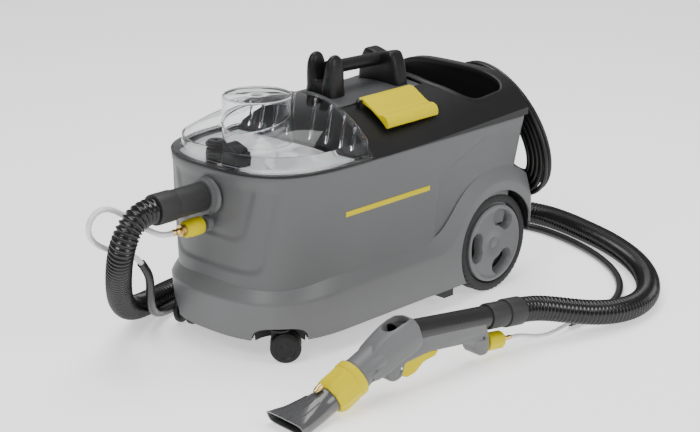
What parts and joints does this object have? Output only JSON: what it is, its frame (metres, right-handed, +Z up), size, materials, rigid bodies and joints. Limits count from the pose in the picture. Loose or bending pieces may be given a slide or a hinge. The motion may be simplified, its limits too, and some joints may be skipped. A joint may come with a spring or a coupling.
{
  "type": "spot extractor",
  "caption": "Wheeled tank machine that sprays and sucks upholstery clean, with a clear lid, a corrugated hose, a trigger hand tool and a coiled mains cord.",
  "frame": {"origin": "on the floor, in the middle of the footprint of the machine and its hand tool, hoses and cord left out", "axes": "+X to the machine's rear, +Y away from the hand tool's side, +Z up"},
  "size_m": [1.0826, 0.6745, 0.44],
  "materials": {
    "grey_plastic": "satin moulded",
    "dark_grey_plastic": "satin moulded",
    "black_plastic": "fine grain",
    "yellow_plastic": "smooth moulded",
    "clear_plastic": "clear polished",
    "milky_plastic": "translucent satin",
    "black_rubber": "matt",
    "tyre_rubber": "matt",
    "hose_plastic": "ribbed gloss",
    "cord_rubber": "matt sheath",
    "steel": "zinc plated",
    "white_plastic": "satin",
    "brass": "machined"
  },
  "bodies": {
    "machine": {"base_housing": "grey_plastic", "underbody_plate": "black_plastic", "tank_housing": "grey_plastic", "rim_seal": "black_rubber", "recovery_tub": "milky_plastic", "inlet_elbow": "black_plastic", "float_cage": "white_plastic", "top_cover": "black_plastic", "deck_plate": "dark_grey_plastic", "front_handle_post": "black_plastic", "rear_handle_post": "black_plastic", "carry_handle": "black_plastic", "latch_pin": "steel", "suction_port": "black_plastic", "hose_cuff": "black_rubber", "coupler_socket": "brass", "coupler_barb": "brass", "vacuum_motor": "dark_grey_plastic", "water_pump": "dark_grey_plastic", "cord_gland": "black_rubber", "cord_hook": "black_plastic", "rear_axle": "steel", "tool_tube": "black_plastic", "tool_grip": "grey_plastic", "spray_valve": "brass", "trigger_pin": "steel", "trigger_spring": "steel", "tool_head": "grey_plastic", "upholstery_nozzle": "clear_plastic", "spray_tip": "brass", "tool_coupler_barb": "brass", "housing_screws": "steel", "suction_hose": "hose_plastic", "hose_sheath": "cord_rubber", "spray_hose_front": "hose_plastic", "spray_hose_tool": "hose_plastic", "power_lead": "cord_rubber", "cord_hank": "cord_rubber", "plug_tail": "cord_rubber", "mains_plug": "black_rubber", "plug_pins": "brass"},
    "left_wheel": {"left_wheel_disc": "dark_grey_plastic", "left_tyre": "tyre_rubber"},
    "right_wheel": {"right_wheel_disc": "dark_grey_plastic", "right_tyre": "tyre_rubber"},
    "left_caster": {"left_caster_fork": "black_plastic"},
    "left_caster_roller": {"left_caster_wheel": "dark_grey_plastic"},
    "right_caster": {"right_caster_fork": "black_plastic"},
    "right_caster_roller": {"right_caster_wheel": "dark_grey_plastic"},
    "lid": {"tank_lid": "clear_plastic"},
    "latch": {"lid_latch": "yellow_plastic"},
    "float": {"float_ball": "white_plastic"},
    "fan": {"motor_fan": "black_plastic"},
    "motor_key": {"motor_switch": "black_plastic"},
    "pump_key": {"pump_switch": "black_plastic"},
    "sleeve": {"coupler_sleeve": "yellow_plastic"},
    "tool_sleeve": {"tool_coupler_sleeve": "yellow_plastic"},
    "trigger": {"tool_trigger": "yellow_plastic"},
    "nut": {"union_nut": "yellow_plastic"},
    "swivel_cuff": {"tool_cuff": "black_rubber"}
  },
  "joints": [
    {"name": "left_wheel_spin", "type": "hinge", "parent": "machine", "child": "left_wheel", "pos_m": [0.2636, 0.1066, 0.087], "axis": [0, 1, 0], "continuous": true},
    {"name": "right_wheel_spin", "type": "hinge", "parent": "machine", "child": "right_wheel", "pos_m": [0.2636, 0.1066, 0.087], "axis": [0, 1, 0], "continuous": true},
    {"name": "left_caster_swivel", "type": "hinge", "parent": "machine", "child": "left_caster", "pos_m": [-0.2124, -0.0054, 0.04], "axis": [0, 0, 1], "continuous": true},
    {"name": "left_caster_roll", "type": "hinge", "parent": "left_caster", "child": "left_caster_roller", "pos_m": [-0.20604, -0.01176, 0.025], "axis": [0.7071, 0.7071, 0], "continuous": true},
    {"name": "right_caster_swivel", "type": "hinge", "parent": "machine", "child": "right_caster", "pos_m": [-0.2124, 0.2186, 0.04], "axis": [0, 0, 1], "continuous": true},
    {"name": "right_caster_roll", "type": "hinge", "parent": "right_caster", "child": "right_caster_roller", "pos_m": [-0.20394, 0.22168, 0.025], "axis": [-0.342, 0.9397, 0], "continuous": true},
    {"name": "lid_lift", "type": "slide", "parent": "machine", "child": "lid", "axis": [0, 0, 1], "range_m": [0, 0.12]},
    {"name": "latch_swing", "type": "hinge", "parent": "machine", "child": "latch", "pos_m": [0.0766, 0.0366, 0.3712], "axis": [-1, 0, 0], "range_deg": [0, 100]},
    {"name": "float_rise", "type": "slide", "parent": "machine", "child": "float", "axis": [0, 0, 1], "range_m": [0, 0.0135]},
    {"name": "fan_spin", "type": "hinge", "parent": "machine", "child": "fan", "pos_m": [0.1056, 0.1066, 0.228], "axis": [0, 0, 1], "continuous": true},
    {"name": "motor_key_rock", "type": "hinge", "parent": "machine", "child": "motor_key", "pos_m": [0.3336, 0.1646, 0.275], "axis": [0, 1, 0], "range_deg": [0, 12]},
    {"name": "pump_key_rock", "type": "hinge", "parent": "machine", "child": "pump_key", "pos_m": [0.3336, 0.1946, 0.275], "axis": [0, 1, 0], "range_deg": [0, 12]},
    {"name": "sleeve_pull", "type": "slide", "parent": "machine", "child": "sleeve", "axis": [1, 0, 0], "range_m": [0, 0.004], "stiffness_N_per_m": 400},
    {"name": "tool_sleeve_pull", "type": "slide", "parent": "machine", "child": "tool_sleeve", "axis": [-0.9902, 0.0866, 0.1097], "range_m": [0, 0.0015], "stiffness_N_per_m": 400},
    {"name": "trigger_pull", "type": "hinge", "parent": "machine", "child": "trigger", "pos_m": [-0.18179, -0.22054, 0.044], "axis": [-0.0872, -0.9962, 0], "range_deg": [0, 6], "stiffness_Nm_per_rad": 0.6, "springref_deg": -8.59, "deforming": ["trigger_spring"]},
    {"name": "nut_turn", "type": "hinge", "parent": "machine", "child": "nut", "pos_m": [-0.23061, -0.21627, 0.0635], "axis": [-0.9086, 0.0795, -0.4099], "continuous": true},
    {"name": "cuff_swivel", "type": "hinge", "parent": "machine", "child": "swivel_cuff", "pos_m": [0.1081, -0.2459, 0.062], "axis": [-0.9902, 0.0866, 0.1097], "continuous": true}
  ]
}
